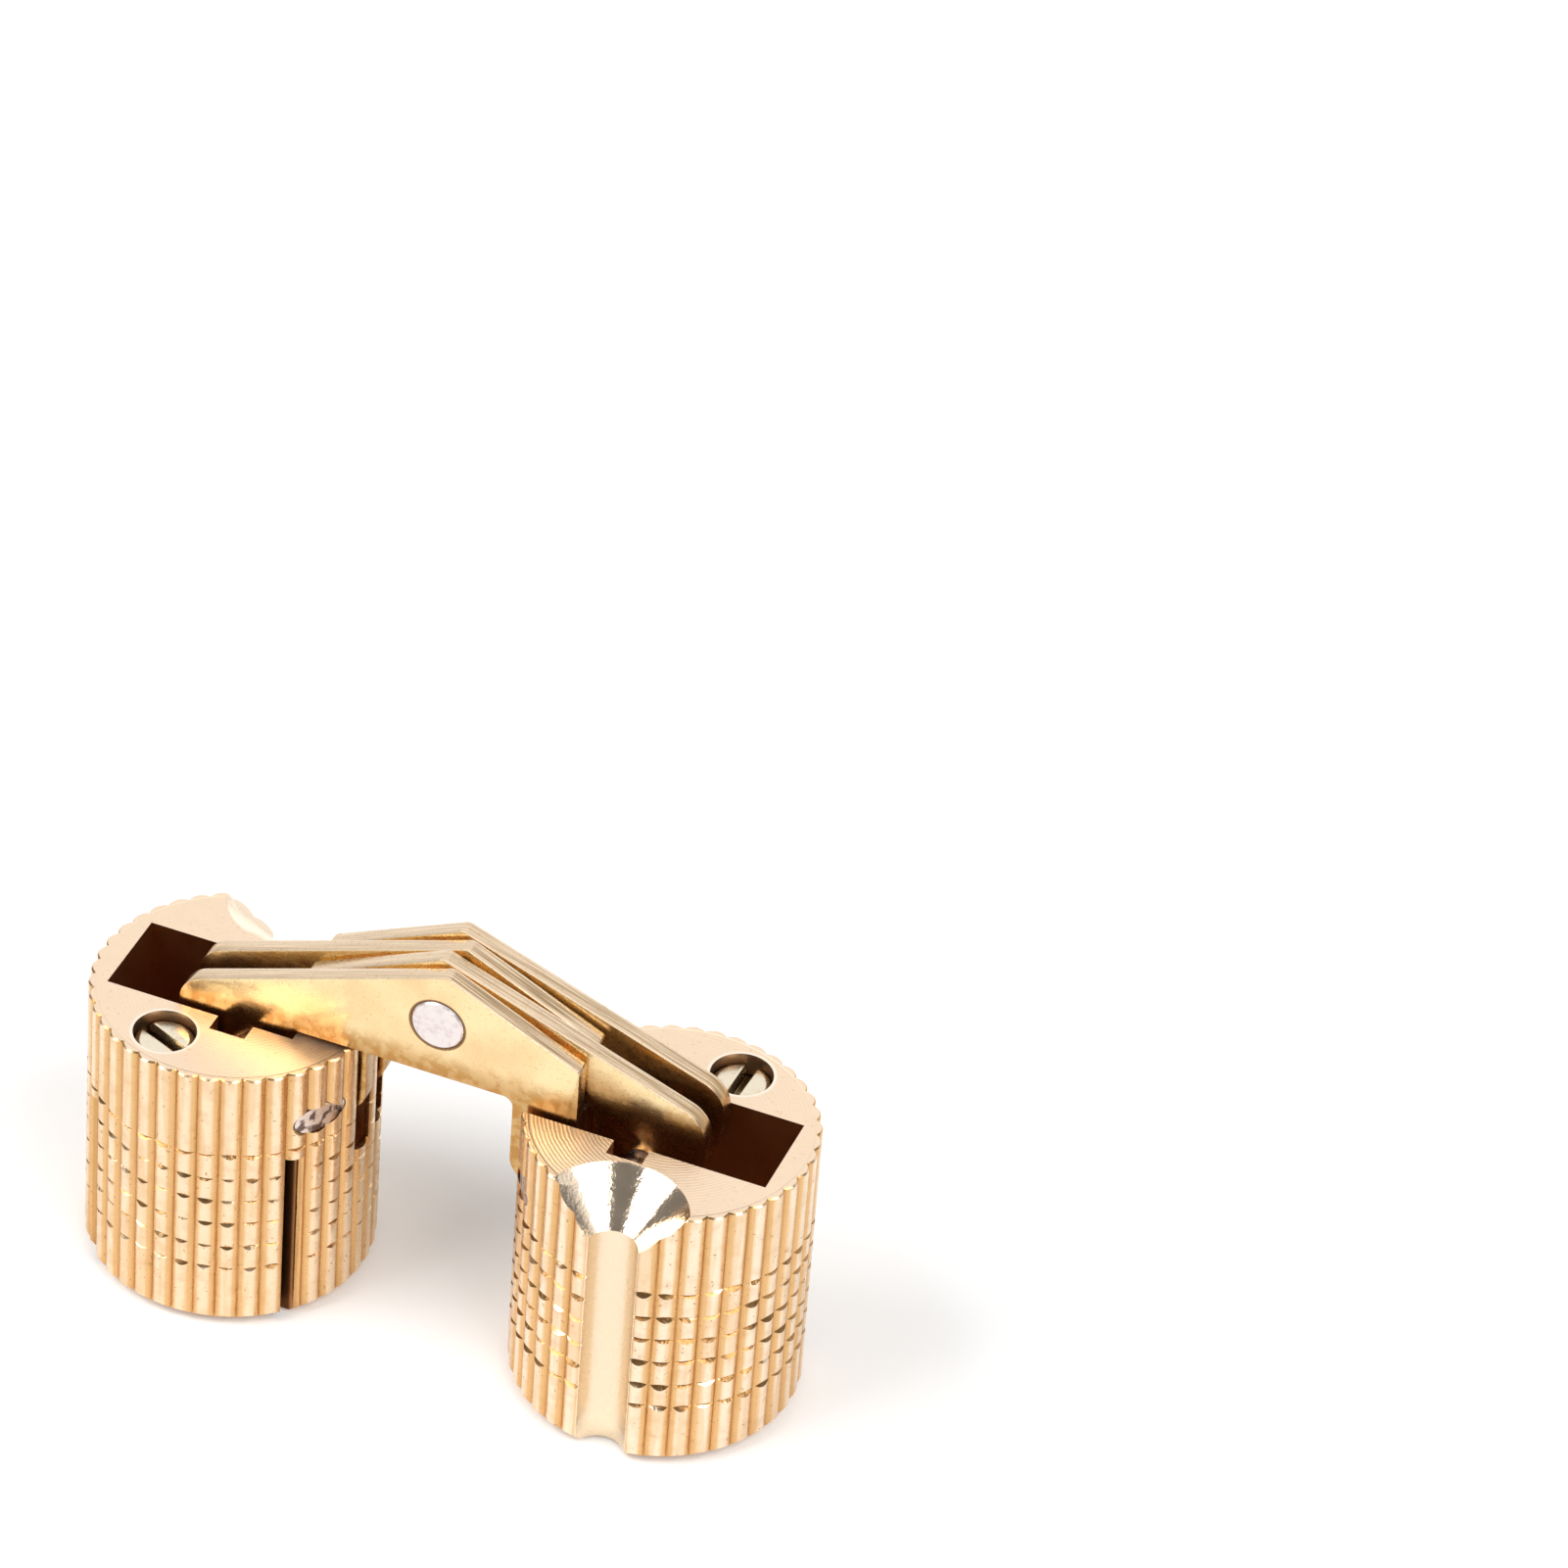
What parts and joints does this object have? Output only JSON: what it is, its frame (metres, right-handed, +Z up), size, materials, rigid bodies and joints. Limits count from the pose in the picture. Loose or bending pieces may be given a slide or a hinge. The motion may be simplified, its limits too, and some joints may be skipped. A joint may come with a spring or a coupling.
{
  "type": "invisible barrel hinge",
  "caption": "Concealed barrel hinge: knurled brass barrels for drilled holes, joined by a scissor of link plates that folds from flat open to closed face to face.",
  "frame": {"origin": "midway between the barrels, on the plane that their bases stand on, with the hinge opened to 180 degrees", "axes": "+X from the left barrel to the right one, +Y away from the pictured side, +Z up from the bases to the faces"},
  "size_m": [0.036, 0.014, 0.0212],
  "materials": {
    "barrel_brass": "knurled, bright turned",
    "link_brass": "stamped and polished",
    "screw_brass": "turned",
    "pin_steel": "bright ground"
  },
  "bodies": {
    "left_barrel": {"barrel_left": "barrel_brass", "pivot_pin_left": "pin_steel"},
    "left_links": {"link_plate_2": "link_brass", "link_plate_4": "link_brass", "guide_pin_right": "pin_steel", "centre_rivet": "pin_steel"},
    "right_links": {"link_plate_1": "link_brass", "link_plate_3": "link_brass", "guide_pin_left": "pin_steel"},
    "right_barrel": {"barrel_right": "barrel_brass", "pivot_pin_right": "pin_steel"},
    "left_set_screw": {"set_screw_left": "screw_brass"},
    "right_set_screw": {"set_screw_right": "screw_brass"}
  },
  "joints": [
    {"name": "fold", "type": "hinge", "parent": "left_barrel", "child": "left_links", "pos_m": [-0.0052, 0, 0.0118], "axis": [0, -1, 0], "range_deg": [0, 104.92]},
    {"name": "scissor", "type": "hinge", "parent": "left_links", "child": "right_links", "pos_m": [0, 0, 0.0183], "axis": [0, -1, 0], "range_deg": [-29.86, 0]},
    {"name": "right_pivot", "type": "hinge", "parent": "right_links", "child": "right_barrel", "pos_m": [0.0052, 0, 0.0118], "axis": [0, -1, 0], "range_deg": [0, 104.92]},
    {"name": "left_screw_turn", "type": "hinge", "parent": "left_barrel", "child": "left_set_screw", "pos_m": [-0.01264, -0.0045, 0.015], "axis": [0, 0, 1], "range_deg": [-360, 360]},
    {"name": "right_screw_turn", "type": "hinge", "parent": "right_barrel", "child": "right_set_screw", "pos_m": [0.01264, 0.0045, 0.015], "axis": [0, 0, 1], "range_deg": [-360, 360]}
  ],
  "couplings": [
    {"joint": "scissor", "follows": "fold", "ratio": -0.28455},
    {"joint": "right_pivot", "follows": "fold", "ratio": 1}
  ]
}
